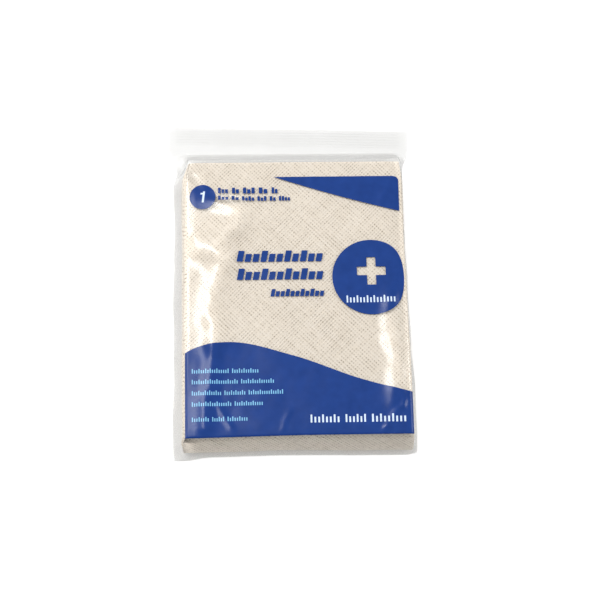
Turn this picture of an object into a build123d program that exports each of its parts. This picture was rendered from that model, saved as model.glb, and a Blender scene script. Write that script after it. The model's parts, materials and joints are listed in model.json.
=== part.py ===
from build123d import *
import math
import os

# A triangular bandage (arm sling) folded into a flat pack, in a clear poly bag that lies on its back.
# Millimetres. +Y runs to the bag's mouth and +Z up. The origin is under the middle of the bag, on the
# surface that it lies on.

# --- the bag's film -----------------------------------------------------------------------------
FILM = 0.25               # wall of every film panel
LAY_FLAT = 101.6          # width of the empty bag, 4 inches
MOUTH_Y = 71.5            # highest Y of the lips
BOTTOM_Y = -71.5          # lowest Y of the bottom seam's ears
MOUTH_SKEW = 2.6          # the mouth edge falls by this much from left to right
FLARE_Y = 50.0            # from here the side edges widen out to the lips
LEFT_FIN_X = -48.3        # outer edges of the side seams beside the pack
RIGHT_FIN_X = 48.3
LIP_GAP = 0.5             # space between the two lips, where the closure's ribs mesh
WELD_LIFT = 0.05          # the seam strips lie this far above the back film
JOIN = 0.05               # gap between two panels of film that meet
BACK_INSET = 1.5          # the back film ends this far inside the bottom seam's ears
SEAM_INSET = 3.2          # and the side seams this far
LEFT_EAR = (5.0, 9.0)     # the bottom seam's left ear: its width, then the run of its slant
RIGHT_EAR = (4.0, 7.0)
EAR_SLANT = 0.8           # the left ear's lower edge rises by this much over its width
STRIP = 0.9               # width of the bottom seam between its ears
RIGHT_STRIP = (1.4, 1.2)  # and at the start and end of its right ear

# --- the folded cloth ---------------------------------------------------------------------------
PACK_LEFT = -43.0
PACK_RIGHT = 46.4
PACK_FAR = 50.6           # end of the pack at the mouth
PACK_NEAR = -65.2         # top edge of the other end, which leans outwards
PACK_FOOT = -68.7         # foot of that end
PACK_BASE = 0.75
PACK_TOP = 13.6
FOLD_GAP = 0.08           # air between two folds
FOLD_COUNT = 3            # nested folds
FAR_STEP = 0.6            # each fold ends this much short of the one round it, at the mouth's end
SKIN_GAP = 0.12           # air between the cloth and the film

# --- the mouth ----------------------------------------------------------------------------------
HINGE_Y = 51.0            # the front film bends here, at the far top edge of the pack
SHOULDER_FOOT = 58.0      # the front film meets the back film here
CREASE_GAP = 0.2          # clearance each side of a bend in the film
GUSSET_INSET = 1.2        # the side walls stop this far short of the shoulder's foot
RIB_PITCH = 1.2
RIB_COUNT = 6
RIB_WIDTH = 0.35
RIB_HEIGHT = 0.35
RIB_INSET = 1.2           # from the mouth edge to the first rib
RIB_MARGIN = 4.0          # from each end of a rib to the side edge

# --- the print on the front film ----------------------------------------------------------------
INK = 0.05
WEDGE_TIP = (-6.4, 43.4)
WEDGE_RIGHT = 44.6
WEDGE_MIDDLE = 35.2       # height of the lower edge, halfway along
WEDGE_LOW = 28.2
WEDGE_CORNER = 2.0
WAVE_LEFT = -42.6
WAVE_RIGHT = 46.2
WAVE_CREST = [(-42.6, -30.9), (-27.0, -26.8), (-1.0, -32.2), (27.2, -42.7), (46.2, -47.9)]
ROUNDEL_CENTRE = (32.2, 0.0)
ROUNDEL_RADIUS = 15.8
ROUNDEL_CUT = 1.2         # it stops this far inside the front film's right edge
COUNT_CENTRE = (-35.5, 34.8)
COUNT_RADIUS = 5.3
# each bar stands for a line of words: left, right, low, high
BARS = [(-29.2, -5.0, 36.4, 38.8), (-29.2, 0.2, 33.0, 35.4), (-21.8, 13.4, 6.6, 11.6),
        (-21.8, 13.2, -1.0, 4.0), (-8.4, 13.2, -7.9, -4.7)]

# --- the safety pins ----------------------------------------------------------------------------
WIRE = 0.4                # radius of the wire
COIL_RADIUS = 1.65        # from the coil's middle to the wire's middle
LEG_Z = 1.30              # middle of the fixed leg's wire
ARM_Z = 2.14              # middle of the arm's wire
PIN_LENGTH = 24.0         # from the coil's middle to the far end of the legs
POINT_LENGTH = 2.9        # the arm's sharpened end
POINT_SHORT = 0.6         # its tip stops this far short of the legs' far end
POINT_RADIUS = 0.05
LEG_SPLAY = 0.4           # sideways drift of the fixed leg, and of the arm, over the pin's length
ARM_SPLAY = 0.1
CAP_LENGTH = 6.0
CAP_REACH = 1.4           # the cap runs on past the legs by this much
CAP_CORNER = 1.6
CAP_WIDTH = 6.4
CAP_SHEET = 0.16
CAP_LOW = 0.70
CAP_HIGH = 2.74
PIN_PLACES = {"pin_a": (-24.0, -14.0, 6.0), "pin_b": (27.0, -20.0, 184.0)}
WINDOW = (-31.0, 34.5, -39.0, 12.0)   # hollow in the lowest fold, where the pins lie


def box(x0, x1, y0, y1, z0, z1):
    return Pos((x0 + x1) / 2, (y0 + y1) / 2, (z0 + z1) / 2) * Box(x1 - x0, y1 - y0, z1 - z0)


def plate(outline, z0, z1):
    """A flat plate with this outline, in X and Y."""
    return Pos(0, 0, z0) * extrude(make_face(Polyline(*outline, close=True)), amount=z1 - z0)


def wall(outline, x0, x1):
    """A plate that stands across X, with this outline in Y and Z."""
    face = Plane.YZ * make_face(Polyline(*outline, close=True))
    return Pos(x0, 0, 0) * extrude(face, amount=x1 - x0)


def mouth_edge(x):
    return MOUTH_Y - MOUTH_SKEW * (x + LAY_FLAT / 2) / LAY_FLAT


def flare(side, y):
    """The bag's outline in X, which widens from the seams beside the pack to the lips."""
    fin = LEFT_FIN_X if side < 0 else RIGHT_FIN_X
    share = max(0.0, (y - FLARE_Y) / (MOUTH_Y - FLARE_Y))
    return fin + (side * LAY_FLAT / 2 - fin) * min(1.0, share)


def lip_outline(low_y):
    right = mouth_edge(LAY_FLAT / 2)
    return [(flare(-1, low_y), low_y), (flare(1, low_y), low_y),
            (LAY_FLAT / 2, right), (-LAY_FLAT / 2, MOUTH_Y)]


# --- film heights, worked out ---
FRONT_LOW = PACK_TOP + SKIN_GAP
FRONT_HIGH = FRONT_LOW + FILM
LIP_LOW = FILM + LIP_GAP
LIP_HIGH = LIP_LOW + FILM
SIDE_LEFT = PACK_LEFT - SKIN_GAP
SIDE_RIGHT = PACK_RIGHT + SKIN_GAP
SEAM_LOW = FILM + WELD_LIFT
SEAM_HIGH = SEAM_LOW + FILM
LEAN = (PACK_NEAR - PACK_FOOT) / (PACK_TOP - PACK_BASE)   # how far the near end leans out, per mm down
FOLD_STEP = (PACK_TOP - PACK_BASE + FOLD_GAP) / (2 * FOLD_COUNT)   # from one fold's face to the next one's
FOLD_THICK = FOLD_STEP - FOLD_GAP
POINT_START = PIN_LENGTH - POINT_SHORT - POINT_LENGTH


def near_end(z, out=0.0):
    """Y of the pack's leaning end at this height, and so much further out."""
    return PACK_NEAR - LEAN * (PACK_TOP - z) - out


def back_film():
    near, far = BOTTOM_Y + BACK_INSET, SHOULDER_FOOT
    outline = [(LEFT_FIN_X, near), (RIGHT_FIN_X, near), (RIGHT_FIN_X, FLARE_Y),
               (flare(1, far), far), (flare(-1, far), far), (LEFT_FIN_X, FLARE_Y)]
    return plate(outline, 0, FILM)


def back_lip():
    return plate(lip_outline(SHOULDER_FOOT + JOIN), 0, FILM)


def front_lip():
    return plate(lip_outline(SHOULDER_FOOT + FILM + JOIN), LIP_LOW, LIP_HIGH)


def ribs(z0, shift):
    """Ribs along the mouth edge; the two lips' ribs are half a pitch apart, so that they mesh."""
    slope = math.degrees(math.atan2(-MOUTH_SKEW, LAY_FLAT))
    length = LAY_FLAT - 2 * RIB_MARGIN
    rows = []
    for i in range(RIB_COUNT):
        y = mouth_edge(0) - RIB_INSET - shift - i * RIB_PITCH
        rows.append(Pos(0, y, z0 + RIB_HEIGHT / 2) * Rot(0, 0, slope) * Box(length, RIB_WIDTH, RIB_HEIGHT))
    return Compound(children=rows)


def front_film():
    return box(SIDE_LEFT, SIDE_RIGHT, PACK_NEAR, HINGE_Y - CREASE_GAP, FRONT_LOW, FRONT_HIGH)


def bottom_end_film():
    top, foot = FRONT_LOW - JOIN, SEAM_LOW
    inner = [(near_end(foot, SKIN_GAP), foot), (near_end(top, SKIN_GAP), top)]
    outer = [(near_end(top, SKIN_GAP + FILM), top), (near_end(foot, SKIN_GAP + FILM), foot)]
    return wall(inner + outer, SIDE_LEFT, SIDE_RIGHT)


def side_film(x0, x1):
    """A side wall, which runs on past the pack as a gusset under the shoulder."""
    top, foot = FRONT_LOW - JOIN, SEAM_LOW
    outline = [(near_end(foot, SKIN_GAP), foot), (near_end(top, SKIN_GAP), top), (PACK_FAR, top),
               (SHOULDER_FOOT - GUSSET_INSET, LIP_LOW), (SHOULDER_FOOT - GUSSET_INSET, foot)]
    return wall(outline, x0, x1)


def side_seam(x0, x1):
    return box(x0, x1, BOTTOM_Y + SEAM_INSET, FLARE_Y, SEAM_LOW, SEAM_HIGH)


def bottom_seam():
    """The welded strip along the bottom, with an ear at each corner."""
    inner = near_end(SEAM_LOW, SKIN_GAP + FILM + JOIN)
    left, left_run = LEFT_FIN_X + LEFT_EAR[0], LEFT_EAR[1]
    right, right_run = RIGHT_FIN_X - RIGHT_EAR[0], RIGHT_EAR[1]
    outline = [(LEFT_FIN_X, inner), (LEFT_FIN_X, BOTTOM_Y), (left, BOTTOM_Y + EAR_SLANT),
               (left + left_run, inner - STRIP), (right - right_run, inner - STRIP),
               (right, inner - RIGHT_STRIP[0]), (RIGHT_FIN_X, inner - RIGHT_STRIP[1]), (RIGHT_FIN_X, inner)]
    return plate(outline, SEAM_LOW, SEAM_HIGH)


def mouth_film():
    """The shoulder: the front film on its way from the top of the pack down to the lips."""
    start, end = (HINGE_Y + CREASE_GAP, FRONT_LOW), (SHOULDER_FOOT, LIP_LOW)
    run = math.hypot(end[0] - start[0], end[1] - start[1])
    ny, nz = (start[1] - end[1]) / run * FILM, (end[0] - start[0]) / run * FILM
    outline = [start, end, (end[0] + ny, end[1] + nz), (start[0] + ny, start[1] + nz)]
    return wall(outline, SIDE_LEFT, SIDE_RIGHT)


def printed(face):
    return Pos(0, 0, FRONT_HIGH) * extrude(face, amount=INK)


def printed_wedge():
    x, y = WEDGE_TIP
    before, after = (WEDGE_RIGHT - WEDGE_CORNER, y), (WEDGE_RIGHT, y - WEDGE_CORNER)
    low_right = (WEDGE_RIGHT, WEDGE_LOW)
    lower = Spline(low_right, ((x + WEDGE_RIGHT) / 2, WEDGE_MIDDLE), (x, y))
    corner = RadiusArc(before, after, WEDGE_CORNER)
    return printed(make_face([lower, Line((x, y), before), corner, Line(after, low_right)]))


def printed_wave():
    low = PACK_NEAR + 0.4
    crest = Spline(*WAVE_CREST)
    frame = Polyline(WAVE_CREST[-1], (WAVE_RIGHT, low), (WAVE_LEFT, low), WAVE_CREST[0])
    return printed(make_face([crest] + list(frame.edges())))


def printed_roundel():
    disc = Pos(*ROUNDEL_CENTRE) * Circle(ROUNDEL_RADIUS)
    width = 2 * ROUNDEL_RADIUS
    beside = Pos(SIDE_RIGHT - ROUNDEL_CUT + width / 2, ROUNDEL_CENTRE[1]) * Rectangle(width, 2 * width)
    return printed(disc - beside)


def printed_count_disc():
    return printed(Pos(*COUNT_CENTRE) * Circle(COUNT_RADIUS))


def printed_bars():
    return Compound(children=[box(x0, x1, y0, y1, FRONT_HIGH, FRONT_HIGH + INK) for x0, x1, y0, y1 in BARS])


def fold_outline(inset, far):
    """A fold's outline in Y and Z, this far inside the pack's own."""
    low, high = PACK_BASE + inset, PACK_TOP - inset
    return [(near_end(low) + inset, low), (near_end(high) + inset, high), (far, high), (far, low)]


def fold(index):
    """One of the strip's nested folds, closed at the near end and open at the mouth's end."""
    inset = index * FOLD_STEP
    solid = wall(fold_outline(inset, PACK_FAR - index * FAR_STEP), PACK_LEFT, PACK_RIGHT)
    if index < FOLD_COUNT - 1:
        solid -= wall(fold_outline(inset + FOLD_THICK, PACK_FAR + 1), PACK_LEFT - 1, PACK_RIGHT + 1)
    if index == 0:
        x0, x1, y0, y1 = WINDOW
        solid -= box(x0, x1, y0, y1, 0, PACK_BASE + FOLD_THICK)
    return solid


def rod(a, b, radius, z):
    """A straight wire with rounded ends, between two points at one height."""
    run = math.hypot(b[0] - a[0], b[1] - a[1])
    turn = math.degrees(math.atan2(b[1] - a[1], b[0] - a[0]))
    bar = Pos(a[0], a[1], z) * Rot(0, 0, turn) * Rot(0, 90, 0)
    bar *= Cylinder(radius, run, align=(Align.CENTER, Align.CENTER, Align.MIN))
    return bar + Pos(b[0], b[1], z) * Sphere(radius)


def pin_wire():
    coil = Pos(0, 0, LEG_Z) * Torus(COIL_RADIUS, WIRE)
    return coil + rod((0, -COIL_RADIUS), (PIN_LENGTH, -COIL_RADIUS - LEG_SPLAY), WIRE, LEG_Z)


def pin_arm():
    coil = Pos(0, 0, ARM_Z) * Torus(COIL_RADIUS, WIRE)
    side = COIL_RADIUS + ARM_SPLAY
    shank = rod((0, COIL_RADIUS), (POINT_START, side), WIRE, ARM_Z)
    point = Pos(POINT_START, side, ARM_Z) * Rot(0, 90, 0)
    point *= Cone(WIRE, POINT_RADIUS, POINT_LENGTH, align=(Align.CENTER, Align.CENTER, Align.MIN))
    return coil + shank + point


def pin_cap():
    """Sheet metal folded round the ends of the legs, open on the arm's side."""
    x0, x1 = PIN_LENGTH + CAP_REACH - CAP_LENGTH, PIN_LENGTH + CAP_REACH
    y0, y1 = -CAP_WIDTH / 2, CAP_WIDTH / 2
    shell = box(x0, x1, y0, y1, CAP_LOW, CAP_HIGH)
    shell = fillet(shell.edges().filter_by(Axis.Z).group_by(Axis.X)[-1], CAP_CORNER)
    inner = box(x0 - 1, x1 - CAP_SHEET, y0 + CAP_SHEET, y1 + 1, CAP_LOW + CAP_SHEET, CAP_HIGH - CAP_SHEET)
    corner = inner.edges().filter_by(Axis.Z).group_by(Axis.X)[-1].sort_by(Axis.Y)[0]
    inner = fillet(corner, CAP_CORNER - CAP_SHEET)
    return shell - inner


def pin_parts(place):
    x, y, turn = place
    at = Pos(x, y, 0) * Rot(0, 0, turn)
    return {"wire": at * pin_wire(), "arm": at * pin_arm(), "cap": at * pin_cap()}


def nodes():
    made = {
        "back_film": back_film(),
        "back_lip": back_lip(),
        "back_closure_ribs": ribs(FILM, RIB_PITCH / 2),
        "front_film": front_film(),
        "left_side_film": side_film(SIDE_LEFT - FILM, SIDE_LEFT),
        "right_side_film": side_film(SIDE_RIGHT, SIDE_RIGHT + FILM),
        "bottom_end_film": bottom_end_film(),
        "left_seam": side_seam(LEFT_FIN_X, SIDE_LEFT - FILM - JOIN),
        "right_seam": side_seam(SIDE_RIGHT + FILM + JOIN, RIGHT_FIN_X),
        "bottom_seam": bottom_seam(),
        "mouth_film": mouth_film(),
        "front_lip": front_lip(),
        "front_closure_ribs": ribs(LIP_LOW - RIB_HEIGHT, 0),
        "printed_wedge": printed_wedge(),
        "printed_wave": printed_wave(),
        "printed_roundel": printed_roundel(),
        "printed_count_disc": printed_count_disc(),
        "printed_bars": printed_bars(),
    }
    for index, name in enumerate(["outer", "middle", "inner"]):
        made[f"bandage_{name}_fold"] = fold(index)
    for pin, place in PIN_PLACES.items():
        for name, shape in pin_parts(place).items():
            made[f"{pin}_{name}"] = shape
    return made


os.makedirs("parts", exist_ok=True)
for node, shape in nodes().items():
    export_step(shape, f"parts/{node}.step")
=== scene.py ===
import json
import math

import bpy
import numpy as np
from mathutils import Matrix, Vector


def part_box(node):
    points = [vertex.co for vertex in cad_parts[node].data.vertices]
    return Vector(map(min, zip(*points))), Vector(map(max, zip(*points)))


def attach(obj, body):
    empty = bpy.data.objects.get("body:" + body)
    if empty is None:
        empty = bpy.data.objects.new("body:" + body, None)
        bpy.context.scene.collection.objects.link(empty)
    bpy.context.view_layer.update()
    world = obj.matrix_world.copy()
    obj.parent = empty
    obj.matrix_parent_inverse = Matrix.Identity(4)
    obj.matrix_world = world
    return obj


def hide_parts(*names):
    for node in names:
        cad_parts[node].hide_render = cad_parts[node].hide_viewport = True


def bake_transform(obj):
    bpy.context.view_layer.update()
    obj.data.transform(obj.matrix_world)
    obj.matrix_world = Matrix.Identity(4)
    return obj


# A triangular bandage, folded and packed in a clear poly bag with blue print.
# Lengths below are millimetres in the row frame; they turn into metres where a mesh or a light is made.
MM = 0.001

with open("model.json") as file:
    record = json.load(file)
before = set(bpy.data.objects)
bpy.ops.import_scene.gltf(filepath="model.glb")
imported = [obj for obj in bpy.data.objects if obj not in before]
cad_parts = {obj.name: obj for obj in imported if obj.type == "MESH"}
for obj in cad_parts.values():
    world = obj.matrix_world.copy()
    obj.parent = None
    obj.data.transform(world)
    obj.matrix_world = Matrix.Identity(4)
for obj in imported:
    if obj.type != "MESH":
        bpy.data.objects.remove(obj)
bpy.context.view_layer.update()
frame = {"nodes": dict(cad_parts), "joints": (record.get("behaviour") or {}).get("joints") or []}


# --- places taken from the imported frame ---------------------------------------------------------

def corners(node):
    """Lowest and highest corner of a CAD node, in millimetres."""
    low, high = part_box(node)
    return np.array(low) / MM, np.array(high) / MM


def joint_place(name):
    found = [j for j in frame["joints"] if j["name"] == name]
    return np.array(found[0]["pos_m"]) / MM


PACK_LOW, PACK_HIGH = corners("bandage_outer_fold")
TOP_LOW, TOP_HIGH = corners("front_film")
SIDE_LOW = corners("left_seam")[0]
SIDE_HIGH = corners("right_seam")[1]
SEAM_LOW = corners("bottom_seam")[0]
LIP_LOW, LIP_HIGH = corners("front_lip")
RIB_LOW, RIB_HIGH = corners("front_closure_ribs")
WAVE_LOW, WAVE_HIGH = corners("printed_wave")
WEDGE_LOW, WEDGE_HIGH = corners("printed_wedge")
DISC_LOW, DISC_HIGH = corners("printed_roundel")
COUNT_LOW, COUNT_HIGH = corners("printed_count_disc")
HINGE = joint_place("mouth_open")

# --- camera and lights --------------------------------------------------------------------------
VIEW_ELEVATION = 72.5
VIEW_AZIMUTH = 6.0
VIEW_ROLL = -5.08
VIEW_DISTANCE = 855.0
VIEW_LENS = 128.5
SENSOR = 36.0
AIM = (1.6, -4.8, 6.0)

# --- the cloth's cut and its folding ------------------------------------------------------------
CLOTH_LEG = 1016.0  # 40 inches
HALF_BASE = CLOTH_LEG / math.sqrt(2)  # from the middle of the long side to a point, and to the apex
PLEATS = 8  # across each half of the cloth
PLEAT = HALF_BASE / PLEATS
PANEL = HALF_BASE / 3  # the strip is folded in three, then in two
RUN = PANEL / 2
CREASE_CLOTH = 0.7  # cloth taken up on each side of a pleat's crease
CREASE_TIGHT = 0.16  # how far a pleat's crease reaches, inner and outer layer
CREASE_WIDE = 0.42
FADE = 9.0  # the slanting cut edges thin out over this width
NEAR_CLOTH = 12.4  # cloth that a run gives to its turn at the near end
FAR_CLOTH = 3.4  # and at the far end
WALL_DEPTH = 6.3  # the near folds turn within this much of the end
WALL_POWER = 4.6  # squareness of that turn
NEAR_SPLAY = 0.7  # the near end's foot spreads this much past its plain solid
HOLLOW_TOP = 2.95  # roof of the hollow over the safety pins
HOLLOW = (-31.0, 34.5, -39.0, 12.0)
HOLLOW_EDGE = 4.0
CLOTH_EDGE = 1.8  # rounding of the pack's long top edges
BASE_EDGE = 1.2  # and of its lower ones
EDGE_MARGIN = 0.1
TOP_GAP = 0.14  # the cloth's top lies this far under its plain solid's
BASE_DROP = 0.1  # and its underside this far under that solid's
TOP_WAVE = (0.10, 30.0)  # height and length of the top's unevenness
FAR_DROP = (0.35, 5.0)  # fall of the top to the far end, and its length
NEAR_GAP = 0.05  # room inside the film's near edge
FAR_GAP = 0.15  # and inside the plain solid's far end
LONG_WANDER = (0.28, 23.0)  # how far the pleats' edges wander, and over what length
SHORT_WANDER = (0.14, 7.0)
PLEAT_DRAW = 0.30  # how far those edges draw in
FAR_JITTER = 0.30  # unevenness of the turns at the far end
NEAR_LEAD = 4.0  # the near end starts to lean this far before its turns
NEAR_WAVE = (0.14, 26.0)  # height and length of its unevenness
CUT_MARGIN = 3.5  # no face reaches further past the cut edge than this

# --- the bag ------------------------------------------------------------------------------------
FILM_TOP = 13.86
EDGE = 1.65  # rounding of the film over the pack's long edges
NEAR_EDGE = 0.95  # and over its near edge
FOOT = 0.42  # height of the film's rim
LIP_Z = 0.90  # height of the front lip
BACK_Z = 0.14  # and of the back film
SHOULDER_END = 58.6  # where the mouth film comes down to the lip
SIDE_TUCK = 0.7  # the fins lie this much inside their full width
SKIRT_TUCK = 1.75  # and the bottom seam, between its corners
LEFT_EAR = 1.3  # the bottom edge reaches out at its left corner
RIGHT_ROUND = 1.2  # and draws in at its right one
NEAR_SPREAD = 0.0175  # share by which the near end is wider, away from SPREAD_LINE
SPREAD_LINE = -20.0
LEFT_CORNER = 0.85  # how far the near left corner reaches out
RIGHT_FOOT = 0.7  # and the foot of the near right one
LEFT_BULGE = 1.3  # the folds bulge at mid-height
FAR_ROUND = 1.6  # and draw in at the far corners
FAR_RIGHT_SHARE = 0.5  # less so at the right
MOUTH_SLANT = 2.6  # fall of the mouth's edge from left to right
MOUTH_INSET = 0.15
INK_LIFT = 0.035  # height of the print above the film
MARK_LIFT = 0.065  # and of the marks that lie on that print

# fades: the place where each starts, and the length over which it becomes whole
SPREAD_FADE = (25.0, 85.0)
NEAR_FADE = (-25.0, 42.0)
LEFT_CORNER_FADE = (12.0, 60.0)
RIGHT_FOOT_FADE = (-15.0, 50.0)
BULGE_FADE = (-35.0, 9.0)
BULGE_END = 8.0  # length of that fade before the hinge
FAR_FADE = (44.0, 7.0)
FAR_END = 6.0  # and of this one before the shoulder's end
FAR_LEFT_FADE = (-34.0, 9.0)
FAR_RIGHT_FADE = (37.0, 9.0)
LIP_FADE = (47.0, 17.0)
RIGHT_TUCK_FADE = (-40.0, 50.0)
LEFT_EAR_FADE = (-33.0, 11.0)
RIGHT_ROUND_FADE = (44.5, 4.0)
EVEN_FADE = (52.0, 12.0)
SIDE_FADE = 5.0  # wrinkles die out this near the pack's long edges
END_FADE = 4.0  # and this near its ends

# waves in the film: height and length
RIM_WAVE = (0.22, 9.0)
RIM_FLUTTER = (0.12, 3.7)
MOUTH_WAVE = (0.10, 8.0)
LIP_WAVE = (0.16, 24.0)
BACK_WAVE = (0.05, 22.0)
CRINKLE = 0.10  # the crinkled film's middle height over the plain one
LONG_CRINKLE = (0.045, 17.0)
SHORT_CRINKLE = (0.020, 7.0)
FIN_FLUTTER = (0.5, 12.0)

# ridges in the film: start, end, half width at the left and right, height
RIDGES = [((-25.5, 35.0), (-28.0, 6.0), 11.0, 7.0, 2.10), ((-30.0, 8.0), (-31.8, -28.0), 4.6, 4.4, 1.00),
          ((-32.0, -22.0), (-35.2, -64.0), 2.7, 3.0, 0.60), ((-38.5, 47.0), (-33.0, 39.0), 2.4, 1.6, 0.36),
          ((40.5, -4.0), (38.8, -52.0), 3.8, 3.0, 0.82), ((44.0, -24.0), (43.0, -60.0), 1.2, 1.2, 0.20),
          ((44.0, 47.0), (36.0, 30.0), 1.4, 1.4, 0.16), ((-24.0, -64.0), (-33.0, -44.0), 1.2, 1.2, 0.16),
          ((33.0, -66.0), (44.0, -50.0), 1.3, 1.3, 0.30), ((-6.0, -65.0), (-2.0, -55.0), 1.0, 1.0, 0.12),
          ((12.0, 50.0), (8.0, 38.0), 1.4, 1.4, 0.12), ((-16.0, 50.5), (-20.0, 40.0), 1.3, 1.3, 0.12)]
RIDGE_FADE = 0.35  # share of a ridge's length over which its ends fade
RIDGE_SWAY = 0.3  # how far it sways aside, as a share of its left half width
BLOTCH = 0.17  # unevenness of the film where it stands off the cloth
BLOTCH_LENGTH = 11.0

# curves of the film from the pack's edges down: share of the way out to the rim, and height
LEFT_WALL = [(0.1, 8.5), (0.7, 1.6), (1.0, FOOT)]
RIGHT_WALL = [(0.1, 8.5), (0.5, 2.0), (1.0, FOOT)]
NEAR_WALL = [(0.50, 10.8), (0.97, 4.6), (1.0, FOOT)]
SHOULDER = [(HINGE[1], FILM_TOP), (53.2, 10.6), (55.6, 4.4), (SHOULDER_END, LIP_Z)]  # Y and height


# --- making meshes ------------------------------------------------------------------------------

def mesh_object(name, points, faces, smooth=True):
    """A mesh from points in millimetres."""
    mesh = bpy.data.meshes.new(name)
    mesh.from_pydata((np.asarray(points, float) * MM).tolist(), [], [list(map(int, f)) for f in faces])
    mesh.polygons.foreach_set("use_smooth", [smooth] * len(mesh.polygons))
    mesh.update()
    made = bpy.data.objects.new(name, mesh)
    bpy.context.scene.collection.objects.link(made)
    return made


def grid_faces(rows, columns, keep=None):
    """Quads of a grid whose points run along its columns first; keep says which of them stay."""
    first = np.arange(rows - 1)[:, None] * columns + np.arange(columns - 1)[None, :]
    quads = np.stack([first, first + 1, first + columns + 1, first + columns], -1).reshape(-1, 4)
    return quads if keep is None else quads[keep.ravel()]


def drop_loose(points, faces):
    """Only the points that a face uses, and the faces renumbered to suit."""
    used = np.unique(faces)
    renumber = np.zeros(len(points), int)
    renumber[used] = np.arange(len(used))
    return points[used], renumber[faces], used


def grid_object(name, points):
    """A sheet from a grid of points."""
    rows, columns, _ = points.shape
    return mesh_object(name, points.reshape(-1, 3), grid_faces(rows, columns))


def add_thread_map(made, values):
    """Stores each point's place on the flat cloth, along its two sets of threads."""
    layer = made.data.attributes.new("thread", "FLOAT_VECTOR", "POINT")
    layer.data.foreach_set("vector", np.asarray(values, np.float32).ravel())


def smooth_step(x):
    """Goes smoothly from 0 to 1 as x does."""
    x = np.clip(x, 0.0, 1.0)
    return x * x * (3 - 2 * x)


def rising(value, start, length):
    """0 below start, and 1 from start + length up."""
    return smooth_step((value - start) / length)


def falling(value, start, length):
    """0 above start, and 1 from start - length down."""
    return smooth_step((start - value) / length)


def ripple(x, y, wavelength, seed, waves=7):
    """A smooth uneven surface between about -1 and 1: a sum of waves in seeded directions."""
    draw = np.random.default_rng(seed)
    total = np.zeros(np.broadcast(x, y).shape)
    for _ in range(waves):
        turn, phase = draw.uniform(0, 2 * math.pi, 2)
        length = wavelength * draw.uniform(0.7, 1.6)
        along = x * math.cos(turn) + y * math.sin(turn)
        total = total + np.sin(2 * math.pi * along / length + phase)
    return total / math.sqrt(waves) / 1.3


def settle(points):
    """The pack and bag spread towards the near end: its left corner reaches out, and its right foot."""
    x, y, z = points[..., 0], points[..., 1], points[..., 2]
    spread = NEAR_SPREAD * falling(y, *SPREAD_FADE)
    near = falling(y, *NEAR_FADE)
    corner = LEFT_CORNER * falling(x, *LEFT_CORNER_FADE) * near
    foot = RIGHT_FOOT * rising(x, *RIGHT_FOOT_FADE) * near
    rise = np.clip(z / FILM_TOP, 0.0, 1.0)
    bulge = LEFT_BULGE * falling(x, *BULGE_FADE) * np.sin(math.pi * rise) * falling(y, HINGE[1], BULGE_END)
    far = rising(y, *FAR_FADE) * falling(y, SHOULDER_END, FAR_END)
    far = FAR_ROUND * far * (falling(x, *FAR_LEFT_FADE) - FAR_RIGHT_SHARE * rising(x, *FAR_RIGHT_FADE))
    return np.stack([x + (x - SPREAD_LINE) * spread - bulge + far, y - corner - foot * (1 - rise), z], -1)


# --- the film's shape ---------------------------------------------------------------------------

def round_off(distance, radius):
    """How far a rounded edge has dropped, this far inside it."""
    inside = np.clip(radius - distance, 0.0, radius)
    return radius - np.sqrt(radius ** 2 - inside ** 2)


def ridge_height(x, y):
    """The creases in the film, each fading out at its ends."""
    total = np.zeros(np.broadcast(x, y).shape)
    for (x0, y0), (x1, y1), left, right, height in RIDGES:
        length = math.hypot(x1 - x0, y1 - y0)
        along = ((x - x0) * (x1 - x0) + (y - y0) * (y1 - y0)) / length ** 2
        aside = ((x - x0) * (y1 - y0) - (y - y0) * (x1 - x0)) / length
        aside = aside * np.sign(y0 - y1) + RIDGE_SWAY * left * np.sin(along * 7.0 + x0)
        fade = smooth_step(along / RIDGE_FADE + 0.5) * smooth_step((1 - along) / RIDGE_FADE + 0.5)
        total = total + height * fade * np.exp(-(aside / np.where(aside > 0, left, right)) ** 2)
    return total


def film_height(x, y):
    """Height of the film over the pack, wrinkles included."""
    edge = round_off(x - TOP_LOW[0], EDGE) + round_off(TOP_HIGH[0] - x, EDGE)
    near = round_off(y - TOP_LOW[1], NEAR_EDGE)
    inside = smooth_step(np.minimum(x - TOP_LOW[0], TOP_HIGH[0] - x) / SIDE_FADE)
    inside = inside * rising(y, TOP_LOW[1], END_FADE) * falling(y, HINGE[1], END_FADE)
    crinkle = CRINKLE + LONG_CRINKLE[0] * ripple(x, y, LONG_CRINKLE[1], seed=3)
    crinkle = crinkle + SHORT_CRINKLE[0] * ripple(x, y, SHORT_CRINKLE[1], seed=8)
    ridges = ridge_height(x, y)
    blotches = BLOTCH * np.minimum(ridges, 1.0) * ripple(x, y, BLOTCH_LENGTH, seed=12)
    return FILM_TOP - edge - near + inside * (ridges + blotches + np.maximum(crinkle, 0.0))


def bezier(points, t):
    """Points of a cubic curve with these four control points."""
    p = np.array(points, float)
    t = np.asarray(t)[:, None]
    return (1 - t) ** 3 * p[0] + 3 * t * (1 - t) ** 2 * p[1] + 3 * t ** 2 * (1 - t) * p[2] + t ** 3 * p[3]


WALL_STEPS = 14
SHOULDER_STEPS = 18  # and as many rows again in the lip
EDGE_STEPS = 5
NEAR_EDGE_STEPS = 4
TOP_COLUMNS = 106
TOP_ROWS = 134
EDGE_CROWDING = 1.6  # stations crowd towards the outside of a rounded edge


def edge_steps(radius, steps):
    """Distances in from the outside of a rounded edge, short of its inner end."""
    return radius * np.linspace(0, 1, steps + 1)[:-1] ** EDGE_CROWDING


def wall_stations(top_z, shape):
    """Points down a wall of film: distance out, and share of the height that is left."""
    t = np.linspace(0, 1, WALL_STEPS + 1)[1:]
    curve = bezier([(0, top_z)] + shape, t)
    return curve[:, 0], (curve[:, 1] - FOOT) / (top_z - FOOT)


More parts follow.
